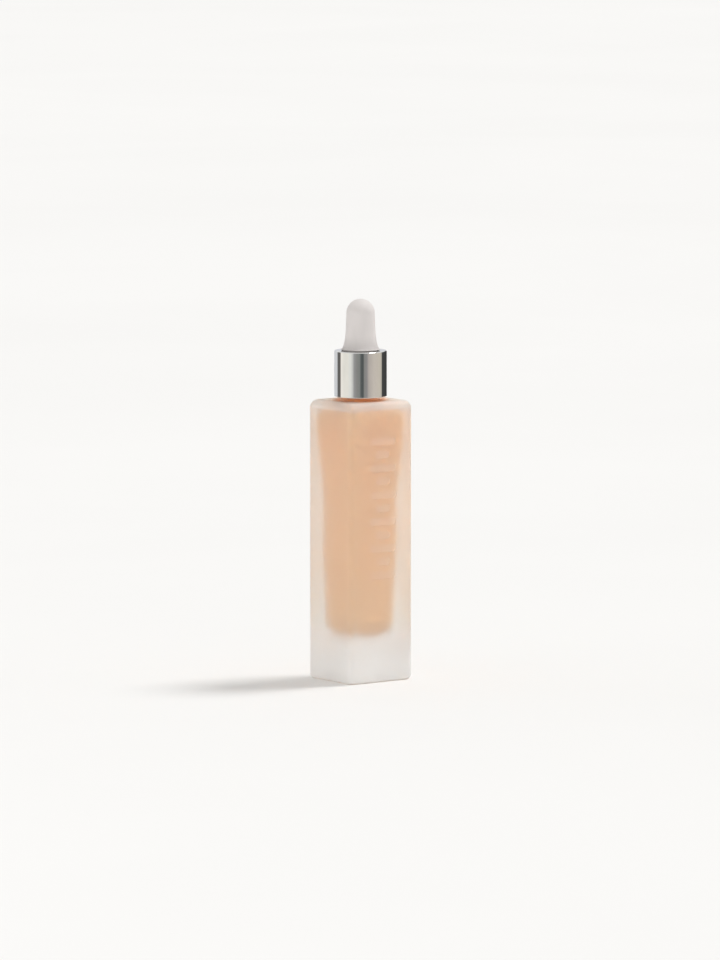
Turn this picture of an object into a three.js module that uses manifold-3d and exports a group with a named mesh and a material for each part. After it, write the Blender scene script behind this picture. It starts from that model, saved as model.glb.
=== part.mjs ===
// Foundation bottle with a dropper closure, millimetres, +Z up.
// The origin is the centre of the base, on the surface that the bottle stands on. The debossed
// panel of the bottle faces -Y. Run it with the npm packages three and manifold-3d installed.
import * as THREE from 'three';
import { mergeVertices } from 'three/addons/utils/BufferGeometryUtils.js';
import Module from 'manifold-3d';

const wasm = await Module();
wasm.setup();

// ---- driving dimensions -------------------------------------------------------------------

// Glass body, a block with rounded vertical edges
const BODY_WIDTH = 29.7; // along X
const BODY_DEPTH = 27.2; // along Y
const BODY_HEIGHT = 106.9;
const BODY_CORNER_R = 2.2; // vertical edges, in plan
const SHOULDER_R = 2.8; // round-over between the walls and the flat shoulder
const HEEL_R = 1.6; // round-over between the walls and the base
const PUNT_R = 8.3; // shallow hollow under the base
const PUNT_DEPTH = 0.7;

// Inside of the glass: thick foot, thinner towards the shoulder
const CAVITY_FLOOR_Z = 16.5;
const CAVITY_FLOOR_R = 7.0;
const CAVITY_CORNER_R = 3.8;
const WALL_FOOT = 5.4; // wall near the foot of the cavity
const WALL_WAIST = 4.4; // wall at half height
const WALL_SHOULDER = 1.9; // wall just under the shoulder
const FOOT_Z = 26.0;
const WAIST_LOW_Z = 52.0;
const WAIST_HIGH_Z = 68.0;
const CAVITY_ARCH_Z = 99.5; // the cavity starts to close over here
const CAVITY_TOP_Z = 105.2; // and has become the round bore here

// Neck finish and its thread
const NECK_R = 7.15;
const NECK_BORE_R = 4.9;
const LIP_Z = 121.0;
const LIP_ROUND_R = 0.7;
const THREAD_CREST_R = 8.0;
const THREAD_PITCH = 3.0;
const THREAD_TURNS = 1.25;
const THREAD_START_Z = 114.2;
const RIDGE_BASE = 1.3; // width of a thread ridge at its root
const RIDGE_CREST = 0.7; // and at its crest
const RIDGE_FADE = 0.06; // turns over which each end of a ridge runs out
const RIDGE_SINK = 0.25; // how far a ridge is buried in the wall that carries it

// Closure
const COLLAR_R = 10.0;
const COLLAR_WALL = 0.5;
const COLLAR_BOTTOM_Z = 108.2;
const COLLAR_TOP_Z = 125.7;
const COLLAR_EDGE_R = 0.45;
const COLLAR_HOLE_R = 7.05;
const CAP_R = 9.2; // inner cap, a push fit in the collar
const CAP_BORE_R = 8.3;
const CAP_BOTTOM_Z = 108.5;
const CAP_TOP_Z = 125.0;
const CAP_CEILING_Z = 123.8;
const CAP_HOLE_R = 6.35;
const CAP_RIB_COUNT = 24; // grip ribs between the inner cap and the collar
const CAP_RIB_R = 0.14;
const THREAD_BEARING_SHIFT = 0.3; // cap ridges sit this much above the middle of their gaps
const CAP_THREAD_START = 0.15; // turns after the neck ridge starts

// Rubber bulb
const BULB_TOP_Z = 145.3;
const BULB_R = 5.4;
const BULB_FOOT_Z = 126.0; // underside of the flared foot, just above the collar
const BULB_FLARE = 1.55; // slow flare of the bulb towards its foot
const BULB_FLARE_LENGTH = 4.0;
const BULB_LIP_FLARE = 0.55; // quick flare right at the foot
const BULB_LIP_LENGTH = 0.6;
const BULB_WALL = 1.25;
const BULB_WAIST_R = 6.75; // where it passes the collar
const BULB_THROAT_R = 6.05; // where it passes the inner cap
const BULB_FLANGE_R = 7.7;
const BULB_FLANGE_Z = 122.6;
const BULB_SOCKET_R = 3.6;
const BULB_SOCKET_TOP_Z = 127.6;

// Pipette, wiper, gasket and contents
const PIPETTE_R = 3.3;
const PIPETTE_WALL = 1.0;
const PIPETTE_TOP_Z = 127.0;
const PIPETTE_TIP_Z = 21.5;
const PIPETTE_TIP_R = 1.5;
const PIPETTE_TIP_BORE_R = 0.75;
const PIPETTE_TAPER_LENGTH = 13.0;
const WIPER_R = 4.6;
const WIPER_WALL = 0.7;
const WIPER_LENGTH = 9.5;
const WIPER_FLANGE_R = 6.4;
const WIPER_FLANGE_THICKNESS = 0.7;
const WIPER_LIP_R = 3.55; // the edge that strips the pipette
const GASKET_R = 7.15; // inside the cap's ridge, which climbs past it
const GASKET_HOLE_R = 4.2;
const GASKET_THICKNESS = 0.6;
const SEAT_GAP = 0.1; // between flat faces that rest on each other
const FIT_GAP = 0.3; // between the contents and the walls round them
const FILL_LEVEL_Z = 107.5; // the bottle is full up into its neck

const ROUND_SEGMENTS = 32;
const CORNER_SEGMENTS = 5;
const TAU = 2 * Math.PI;

// ---- solids -------------------------------------------------------------------------------

// One closed manifold solid from a geometry, with shared vertices merged and faces outwards.
function solid(geometry) {
  const bare = geometry.clone();
  bare.deleteAttribute('normal');
  bare.deleteAttribute('uv');
  const merged = mergeVertices(bare, 1e-5);
  const at = merged.getAttribute('position');
  const corners = merged.index.array;
  const triangles = [];
  let volume = 0;
  const [a, b, c] = [new THREE.Vector3(), new THREE.Vector3(), new THREE.Vector3()];
  for (let i = 0; i < corners.length; i += 3) {
    const [p, q, r] = [corners[i], corners[i + 1], corners[i + 2]];
    if (p === q || q === r || r === p) continue;
    triangles.push(p, q, r);
    a.fromBufferAttribute(at, p);
    b.fromBufferAttribute(at, q);
    c.fromBufferAttribute(at, r);
    volume += a.dot(b.cross(c));
  }
  if (volume < 0) triangles.reverse();
  return new wasm.Manifold(new wasm.Mesh({
    numProp: 3,
    vertProperties: new Float32Array(at.array),
    triVerts: new Uint32Array(triangles),
  }));
}

function geometryOf(manifold) {
  const mesh = manifold.getMesh();
  const geometry = new THREE.BufferGeometry();
  geometry.setAttribute('position', new THREE.BufferAttribute(mesh.vertProperties, 3));
  geometry.setIndex(new THREE.BufferAttribute(mesh.triVerts, 1));
  geometry.computeVertexNormals();
  return geometry;
}

// Points on an arc in the (radius, height) plane; angles in degrees from the +radius direction.
function arc(centreR, centreZ, radius, fromDeg, toDeg, steps) {
  const points = [];
  for (let i = 0; i <= steps; i += 1) {
    const angle = THREE.MathUtils.degToRad(fromDeg + ((toDeg - fromDeg) * i) / steps);
    points.push([centreR + radius * Math.cos(angle), centreZ + radius * Math.sin(angle)]);
  }
  return points;
}

// A turned solid about the Z axis. The profile is [radius, height] pairs; a profile that doesn't
// start and end on the axis is closed on itself.
function turned(profile) {
  const points = profile.map(([r, z]) => new THREE.Vector2(Math.max(r, 0), z));
  const last = profile[profile.length - 1];
  if (profile[0][0] > 0 || last[0] > 0) points.push(points[0].clone());
  return solid(new THREE.LatheGeometry(points, ROUND_SEGMENTS).rotateX(Math.PI / 2));
}

// The outline of a rounded rectangle at one height, corner by corner, anticlockwise.
function roundedRectangle({ z, width, depth, radius }) {
  const ring = [];
  const corners = [[1, 1, 0], [-1, 1, 90], [-1, -1, 180], [1, -1, 270]];
  for (const [sideX, sideY, startDeg] of corners) {
    const centreX = sideX * (width / 2 - radius);
    const centreY = sideY * (depth / 2 - radius);
    for (const [x, y] of arc(centreX, centreY, radius, startDeg, startDeg + 90, CORNER_SEGMENTS)) {
      ring.push(x, y, z);
    }
  }
  return ring;
}

// A closed skin over a stack of rings that all have the same number of points.
function stacked(rings) {
  const count = rings[0].length / 3;
  const positions = rings.flat();
  const triangles = [];
  for (let level = 0; level + 1 < rings.length; level += 1) {
    for (let i = 0; i < count; i += 1) {
      const [p, q] = [level * count + i, level * count + ((i + 1) % count)];
      triangles.push(p, q, q + count, p, q + count, p + count);
    }
  }
  const top = (rings.length - 1) * count;
  for (let i = 1; i + 1 < count; i += 1) {
    triangles.push(0, i + 1, i, top, top + i, top + i + 1);
  }
  const geometry = new THREE.BufferGeometry();
  geometry.setAttribute('position', new THREE.Float32BufferAttribute(positions, 3));
  geometry.setIndex(triangles);
  return solid(geometry);
}

// A helical thread ridge. baseR lies on the wall that carries it and crestR is its working edge.
function threadRidge(baseR, crestR, startTurn, startZ) {
  const outward = Math.sign(crestR - baseR);
  const buriedR = baseR - outward * RIDGE_SINK;
  const steps = Math.round(THREAD_TURNS * ROUND_SEGMENTS);
  const rings = [];
  for (let i = 0; i <= steps; i += 1) {
    const turn = (THREAD_TURNS * i) / steps;
    const fromEnd = Math.min(turn, THREAD_TURNS - turn);
    const height = THREE.MathUtils.smoothstep(fromEnd, 0, RIDGE_FADE);
    const edgeR = THREE.MathUtils.lerp(baseR - outward * RIDGE_SINK / 2, crestR, height);
    const angle = TAU * (startTurn + turn);
    const z = startZ + THREAD_PITCH * turn;
    const section = [
      [buriedR, z - RIDGE_BASE / 2], [edgeR, z - RIDGE_CREST / 2],
      [edgeR, z + RIDGE_CREST / 2], [buriedR, z + RIDGE_BASE / 2],
    ];
    rings.push(section.flatMap(([r, h]) => [r * Math.cos(angle), r * Math.sin(angle), h]));
  }
  return stacked(rings);
}

// ---- glass bottle -------------------------------------------------------------------------

// Sections of the block with its top and bottom edges rounded over.
function bodySections() {
  const section = (z, inset) => roundedRectangle({
    z,
    width: BODY_WIDTH - 2 * inset,
    depth: BODY_DEPTH - 2 * inset,
    radius: Math.max(BODY_CORNER_R - 0.5 * inset, 0.6),
  });
  const heel = arc(0, HEEL_R, HEEL_R, -90, 0, 4).map(([r, z]) => section(z, HEEL_R - r));
  const shoulderZ = BODY_HEIGHT - SHOULDER_R;
  const shoulder = arc(0, shoulderZ, SHOULDER_R, 0, 90, 6).map(([r, z]) => (
    section(z, SHOULDER_R - r)
  ));
  return [...heel, ...shoulder];
}

function wallAt(z) {
  if (z > WAIST_HIGH_Z) {
    const t = THREE.MathUtils.smoothstep(z, WAIST_HIGH_Z, CAVITY_ARCH_Z);
    return THREE.MathUtils.lerp(WALL_WAIST, WALL_SHOULDER, t);
  }
  return THREE.MathUtils.lerp(WALL_FOOT, WALL_WAIST, THREE.MathUtils.smoothstep(z, FOOT_Z, WAIST_LOW_Z));
}

// Sections of the hollow from its floor to the top of its arch, drawn in by a gap all round.
function cavitySections(gap) {
  const section = (z, inset) => roundedRectangle({
    z,
    width: BODY_WIDTH - 2 * (wallAt(z) + inset + gap),
    depth: BODY_DEPTH - 2 * (wallAt(z) + inset + gap),
    radius: Math.max(CAVITY_CORNER_R - gap - 0.4 * inset, 1),
  });
  const floorR = CAVITY_FLOOR_R - gap;
  const floorCentreZ = CAVITY_FLOOR_Z + CAVITY_FLOOR_R;
  const floor = arc(0, floorCentreZ, floorR, -90, 0, 6).map(([r, z]) => section(z, floorR - r));
  const wallHeights = [34, 43, WAIST_LOW_Z, WAIST_HIGH_Z, 76, 84, 92, CAVITY_ARCH_Z];
  const walls = wallHeights.map((z) => section(z, 0));
  return [...floor, ...walls];
}

// One section of the arch that closes the hollow from its full width to the round bore of the
// neck; rise runs from 0 at the walls to 1 at the bore.
function archSection(rise, gap) {
  const across = Math.sqrt(1 - rise * rise);
  const draw = (size) => THREE.MathUtils.lerp(2 * NECK_BORE_R, size - 2 * WALL_SHOULDER, across);
  return roundedRectangle({
    z: THREE.MathUtils.lerp(CAVITY_ARCH_Z, CAVITY_TOP_Z, rise),
    width: draw(BODY_WIDTH) - 2 * gap,
    depth: draw(BODY_DEPTH) - 2 * gap,
    radius: THREE.MathUtils.lerp(NECK_BORE_R, CAVITY_CORNER_R, across) - gap,
  });
}

function boreSection(z, gap) {
  const radius = NECK_BORE_R - gap;
  return roundedRectangle({ z, width: 2 * radius, depth: 2 * radius, radius });
}

function glassBottle() {
  const block = stacked(bodySections());
  const neck = turned([
    [0, BODY_HEIGHT - 2],
    [NECK_R + 0.8, BODY_HEIGHT - 2],
    ...arc(NECK_R + 0.8, BODY_HEIGHT + 0.75, 0.8, 270, 180, 3),
    [NECK_R, LIP_Z - LIP_ROUND_R],
    ...arc(NECK_R - LIP_ROUND_R, LIP_Z - LIP_ROUND_R, LIP_ROUND_R, 15, 90, 3),
    [0, LIP_Z],
  ]);
  const thread = threadRidge(NECK_R, THREAD_CREST_R, 0, THREAD_START_Z);
  const arch = arc(0, 0, 1, 12, 90, 6).map(([, rise]) => archSection(Math.min(rise, 1), 0));
  const hollow = stacked([...cavitySections(0), ...arch, boreSection(LIP_Z + 1, 0)]);
  const puntR = (PUNT_R * PUNT_R + PUNT_DEPTH * PUNT_DEPTH) / (2 * PUNT_DEPTH);
  const puntHalfDeg = THREE.MathUtils.radToDeg(Math.asin(PUNT_R / puntR));
  const punt = turned([
    [0, -1],
    [PUNT_R, -1],
    ...arc(0, PUNT_DEPTH - puntR, puntR, 90 - puntHalfDeg, 90, 4),
  ]);
  return block.add(neck).add(thread).subtract(hollow).subtract(punt);
}

// ---- contents and neck fitment ------------------------------------------------------------

function foundationFill() {
  const gap = 1.5 * FIT_GAP;
  const arch = [0.4, 0.75, 1].map((rise) => archSection(rise, gap));
  const body = stacked([...cavitySections(FIT_GAP), ...arch, boreSection(FILL_LEVEL_Z, gap)]);
  const dipR = PIPETTE_R + FIT_GAP;
  const dipFloorZ = PIPETTE_TIP_Z - 2 * FIT_GAP;
  const dip = turned([[0, dipFloorZ], [dipR, dipFloorZ], [dipR, LIP_Z], [0, LIP_Z]]);
  return body.subtract(dip);
}

function pipetteWiper() {
  const flangeZ = LIP_Z + SEAT_GAP;
  const topZ = flangeZ + WIPER_FLANGE_THICKNESS;
  const endZ = topZ - WIPER_LENGTH;
  const boreR = WIPER_R - WIPER_WALL;
  return turned([
    [WIPER_LIP_R, endZ],
    [WIPER_LIP_R + 0.35, endZ - 0.25],
    [WIPER_R - 0.35, endZ + 1.6],
    [WIPER_R, endZ + 2.4],
    [WIPER_R, flangeZ],
    [WIPER_FLANGE_R, flangeZ],
    [WIPER_FLANGE_R, topZ],
    [boreR + 0.4, topZ],
    [boreR, topZ - 0.5],
    [boreR, endZ + 2.2],
  ]);
}

function sealingGasket() {
  const low = LIP_Z + WIPER_FLANGE_THICKNESS + 2 * SEAT_GAP;
  const high = low + GASKET_THICKNESS;
  return turned([[GASKET_HOLE_R, low], [GASKET_R, low], [GASKET_R, high], [GASKET_HOLE_R, high]]);
}

function glassPipette() {
  const boreR = PIPETTE_R - PIPETTE_WALL;
  const taperZ = PIPETTE_TIP_Z + PIPETTE_TAPER_LENGTH;
  const tipRound = (PIPETTE_TIP_R - PIPETTE_TIP_BORE_R) / 2;
  const topRound = PIPETTE_WALL / 2;
  return turned([
    ...arc(PIPETTE_TIP_R - tipRound, PIPETTE_TIP_Z + tipRound, tipRound, 180, 360, 6),
    [PIPETTE_TIP_R + 0.2, PIPETTE_TIP_Z + 4],
    [PIPETTE_R, taperZ],
    ...arc(PIPETTE_R - topRound, PIPETTE_TOP_Z - topRound, topRound, 0, 180, 6),
    [boreR, taperZ],
    [PIPETTE_TIP_BORE_R + 0.2, PIPETTE_TIP_Z + 4],
  ]);
}

// ---- closure ------------------------------------------------------------------------------

function innerCap() {
  const shell = turned([
    [CAP_BORE_R + 0.3, CAP_BOTTOM_Z],
    [CAP_R, CAP_BOTTOM_Z],
    [CAP_R, CAP_TOP_Z - 0.4],
    [CAP_R - 0.4, CAP_TOP_Z],
    [CAP_HOLE_R, CAP_TOP_Z],
    [CAP_HOLE_R, CAP_CEILING_Z],
    [CAP_BORE_R, CAP_CEILING_Z],
    [CAP_BORE_R, CAP_BOTTOM_Z + 0.3],
  ]);
  const startZ = THREAD_START_Z - THREAD_PITCH / 2 + THREAD_BEARING_SHIFT;
  const ridgeZ = startZ + THREAD_PITCH * CAP_THREAD_START;
  const crestR = NECK_R + CAP_BORE_R - THREAD_CREST_R;
  const thread = threadRidge(CAP_BORE_R, crestR, CAP_THREAD_START, ridgeZ);
  const rib = new THREE.CylinderGeometry(CAP_RIB_R, CAP_RIB_R, CAP_TOP_Z - CAP_BOTTOM_Z - 2, 6);
  rib.rotateX(Math.PI / 2).translate(CAP_R, 0, (CAP_TOP_Z + CAP_BOTTOM_Z) / 2);
  let cap = shell.add(thread);
  for (let i = 0; i < CAP_RIB_COUNT; i += 1) {
    cap = cap.add(solid(rib.clone().rotateZ((TAU * i) / CAP_RIB_COUNT)));
  }
  return cap;
}

function collarShell() {
  const insideR = COLLAR_R - COLLAR_WALL;
  const ceilingZ = COLLAR_TOP_Z - COLLAR_WALL;
  const edge = COLLAR_WALL / 2;
  return turned([
    ...arc(COLLAR_R - edge, COLLAR_BOTTOM_Z + edge, edge, 180, 360, 4),
    ...arc(COLLAR_R - COLLAR_EDGE_R, COLLAR_TOP_Z - COLLAR_EDGE_R, COLLAR_EDGE_R, 0, 90, 4),
    ...arc(COLLAR_HOLE_R + edge, ceilingZ + edge, edge, 90, 270, 4),
    [insideR, ceilingZ],
  ]);
}

// Outside radius of the bulb at a height above its foot, before the dome starts.
function bulbRadius(z) {
  const rise = z - BULB_FOOT_Z;
  const slow = BULB_FLARE * Math.exp(-rise / BULB_FLARE_LENGTH);
  const quick = BULB_LIP_FLARE * Math.exp(-rise / BULB_LIP_LENGTH);
  return BULB_R + slow + quick;
}

function rubberBulb() {
  const domeZ = BULB_TOP_Z - BULB_R;
  const footEdge = 0.2;
  const flare = [0.35, 0.7, 1.2, 2, 3.2, 4.8, 7, 9.5].map((rise) => {
    const z = BULB_FOOT_Z + rise;
    return [bulbRadius(z), z];
  });
  const insideR = BULB_R - BULB_WALL;
  const flangeTopZ = CAP_CEILING_Z - SEAT_GAP;
  return turned([
    [0, BULB_TOP_Z - BULB_WALL],
    ...arc(0, domeZ, insideR, 75, 0, 5),
    [insideR, BULB_SOCKET_TOP_Z + 0.8],
    [BULB_SOCKET_R, BULB_SOCKET_TOP_Z],
    [BULB_SOCKET_R, BULB_FLANGE_Z],
    [BULB_FLANGE_R, BULB_FLANGE_Z],
    [BULB_FLANGE_R, flangeTopZ],
    [BULB_THROAT_R, flangeTopZ],
    [BULB_THROAT_R, CAP_TOP_Z + SEAT_GAP],
    [BULB_WAIST_R, CAP_TOP_Z + SEAT_GAP + 0.15],
    [BULB_WAIST_R, BULB_FOOT_Z],
    [bulbRadius(BULB_FOOT_Z) - footEdge, BULB_FOOT_Z],
    [bulbRadius(BULB_FOOT_Z), BULB_FOOT_Z + footEdge],
    ...flare,
    ...arc(0, domeZ, BULB_R, 8, 90, 8),
  ]);
}

// ---- materials and assembly ---------------------------------------------------------------

const finish = (color, roughness, metalness = 0, extra = {}) => (
  new THREE.MeshStandardMaterial({ color, roughness, metalness, ...extra })
);
const frostedGlass = finish(0xe6e2de, 0.55, 0, { transparent: true, opacity: 0.45 });
const clearGlass = finish(0xf2f4f4, 0.08, 0, { transparent: true, opacity: 0.35 });
const foundation = finish(0xddb08c, 0.5);
const whiteMoulding = finish(0xf1f0ee, 0.5);
const sealFoam = finish(0xe9e7e2, 0.8);
const polishedAluminium = finish(0xd9d9d6, 0.08, 1);
const whiteRubber = finish(0xe8e4e1, 0.65);

const bottle = new THREE.Group();
function place(name, manifold, material) {
  const mesh = new THREE.Mesh(geometryOf(manifold), material);
  mesh.name = name;
  bottle.add(mesh);
}

place('glass_bottle', glassBottle(), frostedGlass);
place('foundation_fill', foundationFill(), foundation);
place('pipette_wiper', pipetteWiper(), whiteMoulding);
place('sealing_gasket', sealingGasket(), sealFoam);
place('glass_pipette', glassPipette(), clearGlass);
place('inner_cap', innerCap(), whiteMoulding);
place('collar_shell', collarShell(), polishedAluminium);
place('rubber_bulb', rubberBulb(), whiteRubber);

export default bottle;
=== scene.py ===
"""Foundation bottle with a dropper closure: its shapes, finishes and stage.

Lengths in the code are in metres. The bottle stands on the floor at the origin with its narrow
sides towards X and its broad, debossed side towards -Y.
"""

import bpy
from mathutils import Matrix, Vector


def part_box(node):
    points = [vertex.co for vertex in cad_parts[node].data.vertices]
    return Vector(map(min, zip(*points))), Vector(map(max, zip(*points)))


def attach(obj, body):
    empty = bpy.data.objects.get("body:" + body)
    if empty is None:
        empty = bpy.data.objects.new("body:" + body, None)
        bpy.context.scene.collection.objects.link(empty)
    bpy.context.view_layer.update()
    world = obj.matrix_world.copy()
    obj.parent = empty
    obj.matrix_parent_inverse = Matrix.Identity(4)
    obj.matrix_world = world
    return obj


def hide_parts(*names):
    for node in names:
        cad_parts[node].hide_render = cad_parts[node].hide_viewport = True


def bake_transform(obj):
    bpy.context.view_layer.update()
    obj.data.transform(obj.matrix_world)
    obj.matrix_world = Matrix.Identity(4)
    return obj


bl_info = {
    "name": "Dropper Bottle",
    "version": (1, 0, 0),
    "blender": (4, 5, 0),
    "location": "3D View > Sidebar > Bottle",
    "description": "Builds a frosted foundation bottle with a pipette closure",
    "category": "Object",
}

import math

import bmesh
import bpy
from mathutils import Vector

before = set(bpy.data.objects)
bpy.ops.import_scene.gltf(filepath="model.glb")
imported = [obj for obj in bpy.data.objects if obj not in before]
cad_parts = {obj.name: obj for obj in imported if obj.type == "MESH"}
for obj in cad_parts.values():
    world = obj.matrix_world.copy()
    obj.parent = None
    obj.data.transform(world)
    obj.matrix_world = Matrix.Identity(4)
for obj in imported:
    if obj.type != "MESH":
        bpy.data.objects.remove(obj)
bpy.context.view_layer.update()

MM = 0.001
TAU = 2 * math.pi
WELD = 0.002 * MM  # points closer than this are one point

# The etch is denser over the foot of the glass than over its walls, in steps at these heights
FROST_LEVELS = (7.5 * MM, 10.0 * MM, 12.5 * MM, 15.0 * MM)
FROST_CLEARNESS = (0.36, 0.47, 0.58, 0.69, 0.80)
RECESS_CLEARNESS = 0.71  # and it lies a little thicker in the debossed bars

# Points in one ring of the glass: each quarter has an arc over its corner and a run along a side
ARC_STEPS = 12
SIDE_STEPS = 12
RING_POINTS = 4 * (ARC_STEPS + SIDE_STEPS)

SMOOTH_ANGLE = math.radians(32)  # edges sharper than this stay crisp
WALL_CHANGES = (26 * MM, 52 * MM, 68 * MM)  # foot to waist, and from the last up to the arch
THREAD_ZONE = (112.8 * MM, 119.8 * MM)
FROST_EASE = 0.6 * MM  # the frosting starts to thicken this far below the round-over
SHOULDER_FROST_R = 11.5 * MM  # and stays thin on the flat shoulder within this radius

# Where the frosting changes, as the ends of each change; the second end is the full effect
MASKED_FROM = (0.1085, 0.1095)
# The next three place the painted glow: the light through the liquid, painted into the colour of the
# frosting over the walls and round the neck
LIQUID_FROM = (0.0165, 0.0235)
NECK_GLOW_FROM = (0.1040, 0.1060)
NECK_GLOW_RADII = (0.0125, 0.0085)
GLASS_IOR = 1.5
# Painted shade on the rubber bulb: darkest at its foot by the collar, fading out over these heights
FOOT_SHADE_FADES = (0.1255, 0.1320)  # heights on the bulb

WASHER_HOLE = 4.2 * MM
CAP_THREAD_START = 0.15  # turns after the thread of the neck
CAP_THREAD_LIFT = 0.3 * MM  # above the middle of the gaps in the thread of the neck
CAP_THREAD_SINK = 0.2 * MM  # how deep its root stands in the cap
CAP_ROOF = 1.2 * MM
BULB_SOCKET = 3.6 * MM
BULB_FLANGE = 7.7 * MM
BULB_THROAT = 6.05 * MM
BULB_WAIST = 6.75 * MM


# ---- sizes and colours that a user may change --------------------------------------------------


def length(name, description, millimetres):
    return bpy.props.FloatProperty(
        name=name, description=description, default=millimetres * MM, unit="LENGTH", precision=5
    )


def colour(name, description, default):
    return bpy.props.FloatVectorProperty(
        name=name, description=description, default=default, subtype="COLOR", min=0, max=1
    )


def number(name, description, default, **more):
    return bpy.props.FloatProperty(name=name, description=description, default=default, **more)


def whole(name, description, default):
    return bpy.props.IntProperty(name=name, description=description, default=default, min=2)


def bearing(name, description, degrees):
    return number(name, description, math.radians(degrees), subtype="ANGLE")


class GlassSizes(bpy.types.PropertyGroup):
    corner: length("Corner", "Radius of the four upright edges", 2.2)
    shoulder: length("Shoulder", "Round-over between the sides and the flat shoulder", 2.8)
    heel: length("Heel", "Round-over between the sides and the base", 1.6)
    height: length("Height", "Height of the flat shoulder", 106.9)
    punt: length("Punt", "Radius of the shallow hollow under the base", 8.3)
    punt_depth: length("Punt depth", "Depth of the hollow under the base", 0.7)
    neck: length("Neck", "Radius of the neck between its threads", 7.15)
    neck_fillet: length("Neck fillet", "Hollow round where the neck meets the shoulder", 0.8)
    bore: length("Bore", "Radius of the bore through the neck", 4.9)
    lip: length("Lip", "Height of the lip of the neck", 121.0)
    crest: length("Thread crest", "Radius over the thread", 8.0)
    thread_start: length("Thread start", "Height where the thread begins", 114.2)
    pitch: length("Pitch", "Rise of the thread in one turn", 3.0)
    turns: number("Turns", "Length of the thread in turns", 1.25)
    cavity_floor: length("Cavity floor", "Height of the inside floor", 16.5)
    cavity_corner: length("Cavity corner", "Radius of the upright edges inside", 3.8)
    cavity_round: length("Cavity round", "Round-over round the inside floor", 7.0)
    wall_foot: length("Wall at the foot", "Glass thickness low down", 5.4)
    wall_waist: length("Wall at the waist", "Glass thickness at half height", 4.4)
    wall_shoulder: length("Wall at the shoulder", "Glass thickness just under the shoulder", 1.9)
    arch: length("Arch", "Height where the inside starts to close", 99.5)
    arch_top: length("Arch top", "Height where the inside has become the bore", 105.2)


class OrnamentSizes(bpy.types.PropertyGroup):
    low: length("Low end", "Height of the lowest bar of the debossed column", 41.0)
    high: length("High end", "Height of the highest bar of the debossed column", 92.0)
    centre: length("Centre", "Distance of the column from the middle of the side", 0.6)
    wide: length("Wide bars", "Width of the wide bars", 12.0)
    narrow: length("Narrow bars", "Width of the narrow bars", 6.5)
    bar: length("Bar", "Height of one bar", 3.0)
    depth: length("Depth", "Depth of the bars in the glass", 0.22)
    count: whole("Count", "Number of bars", 11)


class ContentsSizes(bpy.types.PropertyGroup):
    level: length("Level", "Height of the liquid, a little way into the neck", 107.5)
    wetting: length("Wetting", "How far the liquid reaches into the glass it wets", 0.04)
    meniscus: length("Meniscus", "How far the liquid climbs the glass", 0.35)
    dip: length("Dip", "Radius of the hole that the pipette leaves", 3.6)
    dip_floor: length("Dip floor", "Height of the bottom of that hole", 20.9)
    charge_top: length("Charge", "Height of the liquid inside the pipette", 62.0)


class ClosureSizes(bpy.types.PropertyGroup):
    wiper: length("Wiper", "Radius of the wiper in the bore", 4.6)
    wiper_wall: length("Wiper wall", "Thickness of the wiper", 0.7)
    wiper_lip: length("Wiper lip", "Radius of the edge that strips the pipette", 3.55)
    pipette: length("Pipette", "Outside radius of the pipette", 3.3)
    pipette_wall: length("Pipette wall", "Thickness of the pipette", 1.0)
    tip: length("Tip", "Outside radius of the pipette tip", 1.5)
    tip_bore: length("Tip bore", "Radius of the hole in the tip", 0.75)
    taper: length("Taper", "Length of the taper of the pipette", 13.0)
    cap_bore: length("Cap bore", "Inside radius of the screw cap", 8.3)
    cap_hole: length("Cap hole", "Hole for the bulb in the top of the screw cap", 6.35)
    rib: length("Rib", "Radius of the grip ribs on the screw cap", 0.14)
    rib_count: whole("Ribs", "Number of grip ribs", 24)
    collar_wall: length("Collar wall", "Thickness of the metal collar", 0.5)
    collar_edge: length("Collar edge", "Round of the upper edge of the collar", 0.45)
    collar_hole: length("Collar hole", "Hole for the bulb in the top of the collar", 7.05)
    bulb: length("Bulb", "Radius of the rubber bulb", 5.4)
    bulb_wall: length("Bulb wall", "Thickness of the rubber", 1.25)
    bulb_foot: length("Bulb foot", "Height of the flared foot of the bulb", 126.0)
    flare: length("Flare", "Slow flare of the bulb towards its foot", 1.55)
    lip_flare: length("Lip flare", "Quick flare right at the foot", 0.55)


class FinishColours(bpy.types.PropertyGroup):
    glass: colour("Glass", "Body of the frosted glass", (0.99, 0.985, 0.975))
    glass_shade: colour("Glass shade", "Denser patches of the frosting", (0.97, 0.96, 0.95))
    # The next two are painted glow: the light through the liquid painted into the glass's colour, a
    # cool tint over the walls and peach round the neck
    painted_glow: colour("Glow", "Tint of the frosting where the liquid is behind it", (0.955, 0.995, 1.0))
    painted_neck_glow: colour("Neck glow", "Tint that it takes from the neck's liquid", (0.97, 0.60, 0.42))
    liquid: colour("Liquid", "Foundation", (0.95, 0.535, 0.225))
    liquid_shade: colour("Liquid shade", "Streaks of pigment in it", (0.935, 0.51, 0.20))
    film: colour("Film", "Foundation in the pipette, in a thinner layer", (0.82, 0.54, 0.36))
    moulding: colour("Moulding", "White moulded plastic", (0.86, 0.86, 0.85))
    foam: colour("Foam", "Sealing washer", (0.82, 0.81, 0.78))
    metal: colour("Metal", "Polished collar", (0.93, 0.93, 0.92))
    rubber: colour("Rubber", "Rubber bulb", (0.725, 0.680, 0.665))
    rubber_shade: colour("Rubber shade", "Bloom on the rubber", (0.69, 0.650, 0.635))
    floor: colour("Floor", "Studio floor", (0.850, 0.843, 0.835))


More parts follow.
